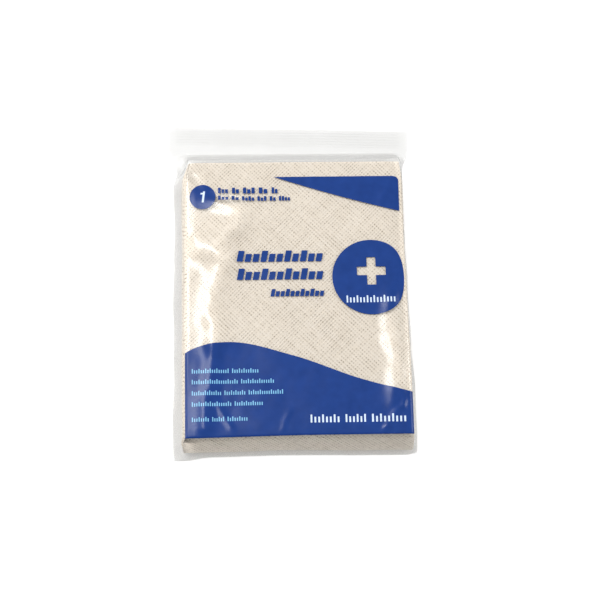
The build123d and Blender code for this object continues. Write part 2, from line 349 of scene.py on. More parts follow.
def film_stations_x():
    """Across the bag: place in X at the pack, reach towards the rim, and share of the height."""
    left_out, left_share = wall_stations(FILM_TOP - EDGE, LEFT_WALL)
    right_out, right_share = wall_stations(FILM_TOP - EDGE, RIGHT_WALL)
    top = np.concatenate([TOP_LOW[0] + edge_steps(EDGE, EDGE_STEPS),
                          np.linspace(TOP_LOW[0] + EDGE, TOP_HIGH[0] - EDGE, TOP_COLUMNS),
                          (TOP_HIGH[0] - edge_steps(EDGE, EDGE_STEPS))[::-1]])
    place = np.concatenate([np.full(WALL_STEPS, TOP_LOW[0]), top, np.full(WALL_STEPS, TOP_HIGH[0])])
    reach = np.concatenate([-left_out[::-1], np.zeros(len(top)), right_out])
    share = np.concatenate([left_share[::-1], np.ones(len(top)), right_share])
    return place, reach, share


def rim_x(side, y):
    """X of the bag's side edge, which widens towards the mouth."""
    fin = SIDE_LOW[0] if side < 0 else SIDE_HIGH[0]
    lip = LIP_LOW[0] if side < 0 else LIP_HIGH[0]
    share = rising(y, *LIP_FADE)
    wobble = RIM_WAVE[0] * np.sin(y / RIM_WAVE[1] + side) + RIM_FLUTTER[0] * np.sin(y / RIM_FLUTTER[1])
    tuck = SIDE_TUCK if side < 0 else SIDE_TUCK * rising(y, *RIGHT_TUCK_FADE)
    return fin + (lip - fin) * share + (wobble - side * tuck) * (1 - share)


def rim_y(x):
    """Y of the bag's bottom edge, with an ear at its left corner and a rounded right one."""
    ear, rounding = falling(x, *LEFT_EAR_FADE), rising(x, *RIGHT_ROUND_FADE)
    return SEAM_LOW[1] + SKIRT_TUCK - LEFT_EAR * ear + RIGHT_ROUND * rounding


def mouth_y(x):
    """Y of the mouth's edge, which falls from left to right."""
    share = (x - LIP_LOW[0]) / (LIP_HIGH[0] - LIP_LOW[0])
    return LIP_HIGH[1] - MOUTH_SLANT * share - MOUTH_INSET + MOUTH_WAVE[0] * np.sin(x / MOUTH_WAVE[1])


def front_film_points():
    """The whole front film in rows: the near wall, the top, the mouth film and the lip."""
    across = film_stations_x()
    place = across[0]
    near_out, near_share = wall_stations(FILM_TOP - NEAR_EDGE, NEAR_WALL)
    shares = np.linspace(0, 1, SHOULDER_STEPS + 1)[1:]
    top = np.concatenate([TOP_LOW[1] + edge_steps(NEAR_EDGE, NEAR_EDGE_STEPS),
                          np.linspace(TOP_LOW[1] + NEAR_EDGE, HINGE[1], TOP_ROWS)])
    rows = []
    for out, share_y in zip(near_out[::-1], near_share[::-1]):
        y = TOP_LOW[1] + (rim_y(place) - TOP_LOW[1]) * out
        rows.append(film_row(*across, y, TOP_LOW[1], share_y, FOOT))
    for y in top:
        rows.append(film_row(*across, np.full(len(place), y), y, 1.0, FOOT))
    for y, z in bezier(SHOULDER, shares):
        share_y = (z - LIP_Z) / (FILM_TOP - LIP_Z)
        foot = FOOT + (LIP_Z - FOOT) * (1 - share_y)
        rows.append(film_row(*across, np.full(len(place), y), HINGE[1], share_y, foot))
    for share in shares:
        y = SHOULDER_END + (mouth_y(rows[-1][:, 0]) - SHOULDER_END) * share
        flat = film_row(*across, y, HINGE[1], 0.0, LIP_Z)
        flat[:, 2] = LIP_Z + LIP_WAVE[0] * ripple(flat[:, 0], y, LIP_WAVE[1], seed=5) * share
        rows.append(flat)
    return np.array(rows)


def film_row(place, reach, share_x, y, y_at_top, share_y, foot):
    """One line of film across the bag."""
    rim_left, rim_right = rim_x(-1, y), rim_x(1, y)
    x = place + np.where(reach < 0, -reach * (rim_left - TOP_LOW[0]), reach * (rim_right - TOP_HIGH[0]))
    even = rim_left + np.linspace(0, 1, len(place)) * (rim_right - rim_left)
    x = x + (even - x) * rising(y, *EVEN_FADE)
    over = film_height(place, np.full(len(place), float(y_at_top)))
    z = foot + (over - foot) * share_x * share_y
    flutter = FIN_FLUTTER[0] * (1 - share_x) * share_x * ripple(x * 0.2, y, FIN_FLUTTER[1], seed=14)
    return np.stack([x + flutter, y, z], -1)


def on_film(x, y, lift):
    """Points that lie on the film, raised by a small lift."""
    return settle(np.stack([x, y, film_height(x, y) + lift], -1))


# --- the folded cloth ---------------------------------------------------------------------------
# The cloth's places are a, along its long side from the middle, and b, from the long side to the apex.
# Both halves are pleated together, like an accordion, into a strip one pack wide. The strip is folded in
# three, and once more over the near end. Six runs of the strip then lie on each other.

RUN_START = [0, PANEL, PANEL, 2 * PANEL, 2 * PANEL, 3 * PANEL]  # b at the far end of each run
RUN_SIGN = [1, -1, 1, -1, 1, -1]  # b grows or falls from there
RUN_TOP = [True, False, False, True, True, False]
RUN_TURN = [0, 0, 1, 1, 2, 2]  # turn of the strip, outermost first
NEAR_TURNS = [(0, 1), (2, 3), (4, 5)]


def pleat_stations():
    """Across the cloth: a, then pleat and half on each side of a crease, and how far round it."""
    rows = []
    straight = np.linspace(0, 1, 15)
    bend = np.arange(1, 5) / 5
    for half in (-1, 1):
        for k in range(PLEATS):
            for share in straight:
                a = k * PLEAT + CREASE_CLOTH + share * (PLEAT - 2 * CREASE_CLOTH)
                rows.append((half * a, half, k, half, k, 0.0, share))
            if k < PLEATS - 1:
                for t in bend:
                    a = (k + 1) * PLEAT + (2 * t - 1) * CREASE_CLOTH
                    rows.append((half * a, half, k, half, k + 1, t, 1.0))
    for t in bend:
        rows.append(((2 * t - 1) * CREASE_CLOTH, -1, 0, 1, 0, t, 0.0))
    return np.array(sorted(rows))


def squared_turn(t):
    """A turn with flat sides and rounded corners: reach outwards, and height from 1 down to -1."""
    cosine = np.cos(math.pi * t)
    reach = np.abs(np.sin(math.pi * t)) ** (2 / WALL_POWER)
    return reach, np.sign(cosine) * np.abs(cosine) ** (2 / WALL_POWER)


def turn_length(steps):
    """Share of the near turn's length at each of its steps, on the outermost layer."""
    t = np.linspace(0, 1, steps * 40 + 1)
    reach, height = squared_turn(t)
    tall = (PACK_HIGH[2] - PACK_LOW[2]) / 2
    pieces = np.hypot(np.diff(reach) * WALL_DEPTH, np.diff(height) * tall)
    length = np.concatenate([[0.0], np.cumsum(pieces)])
    return (length / length[-1])[::40]


NEAR_STEPS = 16
FAR_STEPS = 9


def run_stations():
    """Along the strip: b, the run on each side of a turn, how far round it, and place along the run."""
    rows = []
    straight = np.linspace(0, 1, 20)
    for run in range(6):
        outward = straight if RUN_SIGN[run] > 0 else straight[::-1]
        far_cloth = 0.0 if run in (0, 5) else FAR_CLOTH
        for share in outward:
            b_along = far_cloth + share * (RUN - NEAR_CLOTH - far_cloth)
            rows.append((RUN_START[run] + RUN_SIGN[run] * b_along, run, run, 0.0, share))
        if run == 5:
            break
        near = (run, run + 1) in NEAR_TURNS
        steps = NEAR_STEPS if near else FAR_STEPS
        lengths = turn_length(steps) if near else np.linspace(0, 1, steps + 1)
        before, cloth = rows[-1][0], 2 * (NEAR_CLOTH if near else FAR_CLOTH)
        for i in range(1, steps):
            rows.append((before + cloth * lengths[i], run, run + 1, i / steps, 1.0 if near else 0.0))
    return np.array(rows)


def layer_rank(half, k):
    """Place of a layer in one turn's stack, from the outside in."""
    outer = (half > 0) == (k % 2 == 0)
    return 2 * k + (0 if outer else 1)


def layer_share(run, k, across, along):
    """How much of a layer is there: all, none, or fading at the cloth's cut edge."""
    a = (k + across) * PLEAT if k % 2 == 0 else (k + 1 - across) * PLEAT
    b = RUN_START[run] + RUN_SIGN[run] * along * RUN
    return smooth_step((HALF_BASE - a - b) / FADE + 0.5)


def stack_depths(across, along):
    """Depth of every layer below the pack's face, as a share of the whole stack."""
    shares = {(run, k): layer_share(run, k, across, along) for run in range(6) for k in range(PLEATS)}
    depths, totals = {}, {}
    for top in (True, False):
        depth = np.zeros(across.shape)
        for run in sorted([r for r in range(6) if RUN_TOP[r] == top], key=lambda r: RUN_TURN[r]):
            ranks = range(2 * PLEATS)
            for rank in (reversed(ranks) if RUN_TURN[run] == 1 else ranks):
                share = shares[(run, rank // 2)]
                depths[(run, rank)] = depth + share / 2
                depth = depth + share
        totals[top] = depth
    whole = totals[True] + totals[False]
    return {key: value / whole for key, value in depths.items()}


def edge_drop(x, radius):
    """How far the pack's long edges have dropped away, rounded to this radius."""
    left, right = x - PACK_LOW[0] + EDGE_MARGIN, PACK_HIGH[0] - x + EDGE_MARGIN
    return round_off(left, radius) + round_off(right, radius)


def pack_top(x, y):
    """Height of the cloth's top."""
    far = FAR_DROP[0] * smooth_step((y - PACK_HIGH[1] + FAR_DROP[1]) / FAR_DROP[1])
    wave = TOP_WAVE[0] * ripple(x, y, TOP_WAVE[1], seed=21)
    return PACK_HIGH[2] - TOP_GAP - edge_drop(x, CLOTH_EDGE) * 0.9 - far + wave


def pack_base(x, y):
    """Height of the cloth's underside, with the hollow over the pins."""
    x0, x1, y0, y1 = HOLLOW
    outside = np.maximum(np.maximum(x0 - x, x - x1), np.maximum(y0 - y, y - y1))
    hollow = (HOLLOW_TOP - PACK_LOW[2]) * smooth_step(1 - outside / HOLLOW_EDGE)
    return PACK_LOW[2] - BASE_DROP + hollow + 0.5 * edge_drop(x, BASE_EDGE)


def near_lean(z):
    """How far the near end leans out at this height."""
    slope = (TOP_LOW[1] - PACK_LOW[1] + NEAR_SPLAY) / (PACK_HIGH[2] - PACK_LOW[2])
    return slope * (PACK_HIGH[2] - z)


def folded_cloth():
    """The whole sheet, its points placed run by run and pleat by pleat, cut to a triangle."""
    across_rows, along_rows = pleat_stations(), run_stations()
    a, half0, k0, half1, k1, turn, share = across_rows.T
    b, run0, run1, bend, along = along_rows.T
    rows, columns = len(b), len(a)
    crease_right = (k0 % 2 == 0) & ~((k0 == 0) & (half0 != half1))
    across = np.where(k0 % 2 == 0, share, 1 - share)
    across = np.where(turn > 0, np.where(crease_right, 1.0, 0.0), across)
    rank0 = np.array([layer_rank(h, int(k)) for h, k in zip(half0, k0)])
    rank1 = np.array([layer_rank(h, int(k)) for h, k in zip(half1, k1)])
    wide = np.abs(rank1 - rank0) > 1
    reach = np.where(wide, CREASE_WIDE, CREASE_TIGHT)
    width = PACK_HIGH[0] - PACK_LOW[0] - 2 * CREASE_WIDE
    x_line = PACK_LOW[0] + CREASE_WIDE + across * width
    x_line = x_line + np.where(turn > 0, np.where(crease_right, 1, -1) * reach * np.sin(math.pi * turn), 0.0)
    sheet_x = np.broadcast_to(x_line, (rows, columns)).copy()
    across_grid = np.broadcast_to(across, (rows, columns))
    along_grid = np.broadcast_to(along[:, None], (rows, columns))
    depths = stack_depths(across_grid, along_grid)
    weight = (1 - np.cos(math.pi * turn)) / 2

    def depth_of(runs):
        out = np.zeros((rows, columns))
        for i in range(rows):
            for rank in range(2 * PLEATS):
                line = depths[(int(runs[i]), rank)][i]
                before, after = line * (1 - weight), line * weight
                out[i] += np.where(rank0 == rank, before, 0) + np.where(rank1 == rank, after, 0)
        return out

    depth0, depth1 = depth_of(run0), depth_of(run1)
    # uneven folds: each pleat's edge wanders a little along the strip
    wander = LONG_WANDER[0] * np.sin(b[:, None] / LONG_WANDER[1] + 2.1 * rank0[None, :])
    wander = wander + SHORT_WANDER[0] * np.sin(b[:, None] / SHORT_WANDER[1] + rank0)
    edge_pull = np.abs(2 * across_grid - 1) ** 6
    sheet_x -= np.sign(2 * across_grid - 1) * edge_pull * (PLEAT_DRAW + wander)
    near_top, far_end = TOP_LOW[1] + NEAR_GAP, PACK_HIGH[1] - FAR_GAP
    far_jitter = FAR_JITTER * (1 + np.sin(1.7 * rank0))[None, :] * (1 - along[:, None]) ** 8
    y_top = far_end - far_jitter - along_grid * (far_end - near_top - WALL_DEPTH)
    height_top, height_low = pack_top(sheet_x, y_top), pack_base(sheet_x, y_top)
    tall = height_top - height_low

    def z_of(runs, depth):
        top = np.array([RUN_TOP[int(r)] for r in runs])[:, None]
        return np.where(top, height_top - depth * tall, height_low + depth * tall)

    z0, z1 = z_of(run0, depth0), z_of(run1, depth1)
    bend_grid = np.broadcast_to(bend[:, None], (rows, columns))
    near = np.array([(int(p), int(q)) in NEAR_TURNS for p, q in zip(run0, run1)])[:, None] & (bend_grid > 0)
    far = (bend_grid > 0) & ~near
    middle, radius = (z0 + z1) / 2, (z0 - z1) / 2
    z = np.where(bend_grid > 0, middle + radius * np.cos(math.pi * bend_grid), z0)
    y = np.where(far, far_end - np.abs(radius) * (1 - np.sin(math.pi * bend_grid)), y_top)
    square_y, square_z = squared_turn(bend_grid)
    inset = (depth0 * tall + depth1 * tall) / 2
    out = np.maximum(WALL_DEPTH - inset, 0.15) * square_y
    z = np.where(near, middle + radius * square_z, z)
    y = np.where(near, near_top + WALL_DEPTH - out, y)
    reach_near = falling(y, near_top + WALL_DEPTH + NEAR_LEAD, WALL_DEPTH + NEAR_LEAD)
    y = y - reach_near * near_lean(z)
    y = y + reach_near * NEAR_WAVE[0] * ripple(sheet_x, z * 1.5, NEAR_WAVE[1], seed=30)
    points = np.stack([sheet_x, y, z], -1)

    b_grid = np.broadcast_to(b[:, None], (rows, columns))
    a_grid = np.broadcast_to(a, (rows, columns))
    cut = np.abs(a_grid) + b_grid
    quad_cuts = [cut[:-1, :-1], cut[1:, :-1], cut[:-1, 1:], cut[1:, 1:]]
    keep = np.maximum.reduce(quad_cuts) <= HALF_BASE + CUT_MARGIN
    thread = np.stack([(a_grid + b_grid), (a_grid - b_grid), np.zeros_like(a_grid)], -1) / math.sqrt(2)
    faces = grid_faces(rows, columns, keep)
    used_points, used_faces, used = drop_loose(settle(points).reshape(-1, 3), faces)
    made = mesh_object("folded_bandage", used_points, used_faces)
    add_thread_map(made, thread.reshape(-1, 3)[used])
    return made


# --- materials ----------------------------------------------------------------------------------

def new_material(name):
    """An empty node material, its tree and its output node."""
    material = bpy.data.materials.new(name)
    material.use_nodes = True
    tree = material.node_tree
    tree.nodes.clear()
    output = tree.nodes.new("ShaderNodeOutputMaterial")
    return material, tree, output


def node(tree, kind, **settings):
    """A new shader node, with its sockets or its settings filled in by name."""
    made = tree.nodes.new(kind)
    for key, value in settings.items():
        if key in made.inputs:
            made.inputs[key].default_value = value
        else:
            setattr(made, key, value)
    return made


def maths(tree, operation, first, second=None, third=None):
    """The result of one sum on numbers or sockets."""
    made = tree.nodes.new("ShaderNodeMath")
    made.operation = operation
    for socket, value in zip(made.inputs, (first, second, third)):
        if value is None:
            continue
        if isinstance(value, (int, float)):
            socket.default_value = value
        else:
            tree.links.new(value, socket)
    return made.outputs[0]


def noise(tree, vector, scale, detail=2.0, roughness=0.5):
    made = node(tree, "ShaderNodeTexNoise", Scale=scale, Detail=detail, Roughness=roughness)
    tree.links.new(vector, made.inputs["Vector"])
    return made.outputs["Fac"]


def ramp(tree, factor, stops):
    made = tree.nodes.new("ShaderNodeValToRGB")
    elements = made.color_ramp.elements
    while len(elements) < len(stops):
        elements.new(0.5)
    for element, (place, colour) in zip(elements, stops):
        element.position = place
        element.color = (*colour, 1.0)
    tree.links.new(factor, made.inputs["Fac"])
    return made.outputs["Color"]


THREAD_PITCH = (1.06, 1.27)  # mm, 24 and 20 threads per inch
MUSLIN_DARK = (0.30, 0.245, 0.18)
MUSLIN_MID = (0.755, 0.678, 0.578)
MUSLIN_LIGHT = (0.87, 0.808, 0.73)
HOLE_SHADE = 0.50  # painted shade: how much darker a hole is than the thread, and the groove beside it
GROOVE_SHADE = 0.16
GROOVE_SHARPNESS = 4.0  # powers that narrow the grooves and the holes
HOLE_SHARPNESS = 3.0


def muslin():
    """Plain weave at 45 degrees to the folds: round threads, small holes between them, and slubs; painted
    shade darkens the holes and the grooves beside the threads.
    """
    material, tree, output = new_material("muslin")
    shader = node(tree, "ShaderNodeBsdfPrincipled", Roughness=0.92)
    shader.inputs["Specular IOR Level"].default_value = 0.15
    shader.inputs["Sheen Weight"].default_value = 0.1
    place = node(tree, "ShaderNodeAttribute", attribute_name="thread").outputs["Vector"]
    parts = tree.nodes.new("ShaderNodeSeparateXYZ")
    tree.links.new(place, parts.inputs[0])

    def thread_gap(coordinate, pitch):
        """Between 0 on a thread and 1 in the gap beside it."""
        turn = maths(tree, "MULTIPLY", coordinate, math.pi / pitch)
        return maths(tree, "ABSOLUTE", maths(tree, "COSINE", turn))

    def along_threads(stretch_x, stretch_y):
        scaled = tree.nodes.new("ShaderNodeVectorMath")
        scaled.operation = "MULTIPLY"
        scaled.inputs[1].default_value = (stretch_x, stretch_y, 1.0)
        tree.links.new(place, scaled.inputs[0])
        return noise(tree, scaled.outputs[0], 1.0, 2.0)

    warp_gap = thread_gap(parts.outputs["X"], THREAD_PITCH[0])
    weft_gap = thread_gap(parts.outputs["Y"], THREAD_PITCH[1])
    share = maths(tree, "MULTIPLY_ADD", noise(tree, place, 0.07, 1.0), 2.4, -0.7)
    warp_groove = maths(tree, "MULTIPLY", maths(tree, "POWER", warp_gap, GROOVE_SHARPNESS), share)
    weft_line = maths(tree, "POWER", weft_gap, GROOVE_SHARPNESS)
    weft_groove = maths(tree, "MULTIPLY", weft_line, maths(tree, "SUBTRACT", 1.0, share))
    grooves = maths(tree, "MAXIMUM", warp_groove, weft_groove)
    openness = maths(tree, "MULTIPLY_ADD", noise(tree, place, 0.55, 2.0), 3.2, -0.95)
    holes = maths(tree, "POWER", maths(tree, "MULTIPLY", warp_gap, weft_gap), HOLE_SHARPNESS)
    holes = maths(tree, "MULTIPLY", holes, maths(tree, "MAXIMUM", openness, 0.1))
    slubs = maths(tree, "ADD", along_threads(0.95, 0.05), along_threads(0.05, 0.80))
    flecks = noise(tree, place, 1.7, 3.0, 0.7)
    patches = noise(tree, place, 0.05, 3.0)
    # painted shade: the holes and the grooves between the threads are darkened in the colour, as shade in
    # those recesses
    tone = maths(tree, "MULTIPLY_ADD", holes, -HOLE_SHADE, 0.62)
    tone = maths(tree, "ADD", tone, maths(tree, "MULTIPLY", grooves, -GROOVE_SHADE))
    tone = maths(tree, "ADD", tone, maths(tree, "MULTIPLY_ADD", slubs, 0.36, -0.36))
    tone = maths(tree, "ADD", tone, maths(tree, "MULTIPLY_ADD", flecks, 0.50, -0.25))
    tone = maths(tree, "ADD", tone, maths(tree, "MULTIPLY_ADD", patches, 0.10, -0.05))
    colour = ramp(tree, tone, [(0.0, MUSLIN_DARK), (0.5, MUSLIN_MID), (0.9, MUSLIN_LIGHT)])
    tree.links.new(colour, shader.inputs["Base Color"])
    bump = node(tree, "ShaderNodeBump", Strength=0.7, Distance=0.0002)
    relief = maths(tree, "SUBTRACT", maths(tree, "MULTIPLY", flecks, 0.4), grooves)
    tree.links.new(relief, bump.inputs["Height"])
    tree.links.new(bump.outputs[0], shader.inputs["Normal"])
    tree.links.new(shader.outputs[0], output.inputs["Surface"])
    return material


def clear_film(name, haze, gloss_roughness, gloss_share):
    """See-through film: gloss by Fresnel over what lies behind, with a faint milky haze."""
    material, tree, output = new_material(name)
    through = node(tree, "ShaderNodeBsdfTransparent")
    through.inputs["Color"].default_value = (0.995, 0.995, 0.993, 1.0)
    milk = node(tree, "ShaderNodeBsdfPrincipled", Roughness=0.35)
    milk.inputs["Base Color"].default_value = (0.93, 0.93, 0.92, 1.0)
    gloss = node(tree, "ShaderNodeBsdfPrincipled", Roughness=gloss_roughness, Metallic=1.0)
    gloss.inputs["Base Color"].default_value = (0.45, 0.45, 0.44, 1.0)
    coords = node(tree, "ShaderNodeTexCoord")
    fine = noise(tree, coords.outputs["Object"], 300.0, 2.0)
    broad = noise(tree, coords.outputs["Object"], 60.0, 2.0)
    bump = node(tree, "ShaderNodeBump", Strength=0.05, Distance=0.0003)
    tree.links.new(maths(tree, "MULTIPLY_ADD", fine, 0.25, broad), bump.inputs["Height"])
    tree.links.new(bump.outputs[0], gloss.inputs["Normal"])
    hazy = tree.nodes.new("ShaderNodeMixShader")
    tree.links.new(maths(tree, "MULTIPLY_ADD", broad, haze, haze * 0.5), hazy.inputs["Fac"])
    tree.links.new(through.outputs[0], hazy.inputs[1])
    tree.links.new(milk.outputs[0], hazy.inputs[2])
    fresnel = node(tree, "ShaderNodeFresnel", IOR=1.5)
    both = tree.nodes.new("ShaderNodeMixShader")
    share = maths(tree, "MULTIPLY", fresnel.outputs[0], gloss_share)
    tree.links.new(maths(tree, "MINIMUM", share, 0.65), both.inputs["Fac"])
    tree.links.new(hazy.outputs[0], both.inputs[1])
    tree.links.new(gloss.outputs[0], both.inputs[2])
    tree.links.new(both.outputs[0], output.inputs["Surface"])
    return material


def printed_ink(name, colour):
    """Ink under the film's gloss, with slight mottling from the printing plate."""
    material, tree, output = new_material(name)
    shader = node(tree, "ShaderNodeBsdfPrincipled", Roughness=0.7)
    shader.inputs["Specular IOR Level"].default_value = 0.05
    shader.inputs["Coat Weight"].default_value = 0.3
    shader.inputs["Coat Roughness"].default_value = 0.20
    coords = node(tree, "ShaderNodeTexCoord")
    mottle = noise(tree, coords.outputs["Object"], 260.0, 3.0)
    deep = tuple(0.93 * c for c in colour)
    pale = tuple(min(1.0, 1.08 * c + 0.001) for c in colour)
    tree.links.new(ramp(tree, mottle, [(0.3, deep), (0.7, pale)]), shader.inputs["Base Color"])
    tree.links.new(shader.outputs[0], output.inputs["Surface"])
    return material


def pin_metal():
    """Nickel plate with fine drawing marks."""
    material, tree, output = new_material("nickel_plate")
    shader = node(tree, "ShaderNodeBsdfPrincipled", Metallic=1.0)
    coords = node(tree, "ShaderNodeTexCoord")
    marks = noise(tree, coords.outputs["Object"], 2400.0, 3.0)
    tree.links.new(ramp(tree, marks, [(0.3, (0.60, 0.60, 0.60)), (0.7, (0.76, 0.75, 0.73))]),
                   shader.inputs["Base Color"])
    tree.links.new(maths(tree, "MULTIPLY_ADD", marks, 0.2, 0.14), shader.inputs["Roughness"])
    tree.links.new(shader.outputs[0], output.inputs["Surface"])
    return material


def plain_floor():
    """Near white, with a little light of its own, so that it stays pale under the soft lights."""
    material, tree, output = new_material("floor")
    shader = node(tree, "ShaderNodeBsdfPrincipled", Roughness=0.9)
    shader.inputs["Base Color"].default_value = (0.93, 0.93, 0.93, 1.0)
    shader.inputs["Specular IOR Level"].default_value = 0.0
    shader.inputs["Emission Color"].default_value = (1.0, 1.0, 1.0, 1.0)
    shader.inputs["Emission Strength"].default_value = 0.16
    tree.links.new(shader.outputs[0], output.inputs["Surface"])
    return material


INK_BLUE = (0.006, 0.029, 0.146)
FILM = clear_film("film", 0.035, 0.18, 1.4)
CLOSURE = clear_film("closure_film", 0.01, 0.24, 0.15)
INK = printed_ink("blue_ink", INK_BLUE)
WHITE = printed_ink("white_ink", (0.46, 0.54, 0.64))
PALE = printed_ink("pale_ink", (0.16, 0.38, 0.56))
MUSLIN = muslin()
NICKEL = pin_metal()


def finish_piece(piece, material, body, nodes=()):
    """Gives a piece its material, its body and the CAD nodes that it stands for."""
    piece.data.materials.append(material)
    if body:
        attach(piece, body)
    if nodes:
        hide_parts(*nodes)
    return piece


# --- the bag's pieces ---------------------------------------------------------------------------


def make_front_film():
    """The film over the pack and down to the lip."""
    film = grid_object("bag_front_film", settle(front_film_points()))
    finish_piece(film, FILM, None,
                 ["front_film", "left_side_film", "right_side_film", "bottom_end_film", "left_seam",
                  "right_seam", "bottom_seam", "mouth_film", "front_lip"])
    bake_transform(film)


BACK_INSET = 1.0  # the bag's width is read this far inside its two ends


def make_back_film():
    """The film under the pack, out to the seams and the mouth."""
    y = np.concatenate([np.linspace(0, 0.9, 60), np.linspace(0.9, 1, 14)[1:]])
    across = np.linspace(0, 1, 60)
    points = np.zeros((len(y), len(across), 3))
    for row, share in enumerate(y):
        middle = SEAM_LOW[1] + BACK_INSET + share * (LIP_HIGH[1] - SEAM_LOW[1] - 2 * BACK_INSET)
        x = rim_x(-1, middle) + across * (rim_x(1, middle) - rim_x(-1, middle))
        low, high = rim_y(x), mouth_y(x)
        line = low + share * (high - low)
        height = BACK_Z + BACK_WAVE[0] * ripple(x, line, BACK_WAVE[1], seed=17)
        points[row] = np.stack([x, line, height], -1)
    back = grid_object("bag_back_film", settle(points))
    return finish_piece(back, FILM, "bag", ["back_film", "back_lip"])


RIB_LINES = 6
RIB_PITCH = 1.2
RIB_HALF = 0.24
RIB_START = 1.2  # first rib, in from the mouth's edge
RIB_FADE = 3.0
RIB_HEIGHT = 0.10
RIB_SUNK = 0.05  # the ribs' foot lies this far inside the mouth


def make_ribs(name, body, base_z, height, shift, node_name):
    """Ribs along the mouth, each a rounded ridge of film with its ends run out flat."""
    x = np.linspace(RIB_LOW[0], RIB_HIGH[0], 80)
    section = np.array([(-1, 0), (-0.6, 0.75), (0, 1), (0.6, 0.75), (1, 0)])
    points, faces = [], []
    for line in range(RIB_LINES):
        middle = mouth_y(x) - RIB_START - shift - line * RIB_PITCH
        fade = rising(x, x[0], RIB_FADE) * falling(x, x[-1], RIB_FADE)
        start = len(points)
        for aside, up in section:
            z = base_z + height * up * fade
            points.extend(np.stack([x, middle + aside * RIB_HALF, z], -1))
        faces.extend(start + grid_faces(len(section), len(x)))
    ribs = mesh_object(name, np.array(points), faces)
    return finish_piece(ribs, CLOSURE, body, [node_name])


# --- the print ----------------------------------------------------------------------------------

PRINT_STEP = 0.8  # largest step of a printed mesh, so that it follows the film


def add_area(points, faces, x, low, high, lift=INK_LIFT, slant=0.0, crowding=1.0):
    """Adds a printed area between two outlines to a mesh; crowding draws its rows to the lower one."""
    rows = max(2, int((high - low).max() / PRINT_STEP) + 2)
    y = low + np.linspace(0, 1, rows)[:, None] ** crowding * (high - low)
    start = len(points)
    points.extend(on_film(x + slant * (y - low), y, lift).reshape(-1, 3))
    faces.extend(start + grid_faces(rows, len(x)))


def add_block(points, faces, x0, x1, y0, y1, lift=MARK_LIFT, slant=0.0):
    """Adds one plain block of print."""
    x = np.linspace(x0, x1, max(2, int((x1 - x0) / PRINT_STEP) + 2))
    add_area(points, faces, x, np.full(len(x), y0), np.full(len(x), y1), lift, slant)


def print_piece(name, points, faces, material, nodes=()):
    """A piece of print, which rides on the bag."""
    return finish_piece(mesh_object(name, np.array(points), faces), material, "bag", nodes)


WAVE_X = (WAVE_LOW[0], -27.0, -1.0, 27.2, WAVE_HIGH[0])
WAVE_Y = (-30.9, -26.8, -32.2, -42.7, -47.9)
WAVE_SLOPES = (0.64, -0.22)  # at its two ends
WAVE_STATIONS = 180
WAVE_CROWDING = 1.6
WAVE_OVERLAP = 0.2  # the print runs this far over the film's near edge


def wave_crest(x):
    """The wave's upper edge, a smooth curve through its five driving points."""
    knots, heights = np.array(WAVE_X), np.array(WAVE_Y)
    slope = np.gradient(heights, knots)
    slope[0], slope[-1] = WAVE_SLOPES
    place = np.clip(np.searchsorted(knots, x) - 1, 0, len(knots) - 2)
    gap = knots[place + 1] - knots[place]
    t = (x - knots[place]) / gap
    return ((2 * t ** 3 - 3 * t ** 2 + 1) * heights[place] + (t ** 3 - 2 * t ** 2 + t) * gap * slope[place]
            + (3 * t ** 2 - 2 * t ** 3) * heights[place + 1] + (t ** 3 - t ** 2) * gap * slope[place + 1])


def make_wave():
    """Its stations stand closer together towards its ends and foot, which lie on the film's rounded edges."""
    points, faces = [], []
    turn = np.linspace(0, math.pi, WAVE_STATIONS)
    x = WAVE_LOW[0] + (WAVE_HIGH[0] - WAVE_LOW[0]) * (1 - np.cos(turn)) / 2
    foot = np.full(len(x), WAVE_LOW[1] - WAVE_OVERLAP)
    add_area(points, faces, x, foot, wave_crest(x), crowding=WAVE_CROWDING)
    print_piece("printed_wave_ink", points, faces, INK, ["printed_wave"])


WEDGE_BEND = 0.16  # how far the wedge's lower edge bows
WEDGE_CORNER = 3.0


def make_wedge():
    """A flat top edge, and a lower one that falls away to the right."""
    points, faces = [], []
    x = np.linspace(WEDGE_LOW[0], WEDGE_HIGH[0], 70)
    share = (x - WEDGE_LOW[0]) / (WEDGE_HIGH[0] - WEDGE_LOW[0])
    fall = WEDGE_HIGH[1] - WEDGE_LOW[1]
    low = WEDGE_HIGH[1] - fall * ((1 + WEDGE_BEND) * share - WEDGE_BEND * share ** 2)
    high = WEDGE_HIGH[1] - 0.5 * round_off(WEDGE_HIGH[0] - x, WEDGE_CORNER)
    add_area(points, faces, x, low, np.maximum(high, low))
    print_piece("printed_wedge_ink", points, faces, INK, ["printed_wedge"])


ROUNDEL_RADIUS = (DISC_HIGH[1] - DISC_LOW[1]) / 2
ROUNDEL = (DISC_LOW[0] + ROUNDEL_RADIUS, (DISC_LOW[1] + DISC_HIGH[1]) / 2)
COUNT_RADIUS = (COUNT_HIGH[0] - COUNT_LOW[0]) / 2
COUNT = ((COUNT_LOW[0] + COUNT_HIGH[0]) / 2, (COUNT_LOW[1] + COUNT_HIGH[1]) / 2)
PLUS_RISE = 2.6  # centre of the roundel's plus, above the roundel's own
PLUS_ARM = 5.8
PLUS_HALF = 1.8


def disc_stations(centre, radius, x0, x1, count):
    """X across part of a disc, closer together towards its edge, and the disc's two outlines there."""
    turn = np.linspace(math.acos((centre[0] - x0) / radius), math.acos((centre[0] - x1) / radius), count)
    half = radius * np.sin(turn)
    return centre[0] - radius * np.cos(turn), centre[1] - half, centre[1] + half


def short_of_edge(x, start, end, limit):
    """Draws in what lies past start, so that end comes to limit: an outline that runs to the pack's edge."""
    share = np.clip((x - start) / (end - start), 0.0, 1.0)
    stretch = (end - start) / (limit - start)
    drawn_in = start + (limit - start) * (stretch * share - (stretch - 1) * share ** 2)
    return np.where(x > start, drawn_in, x)


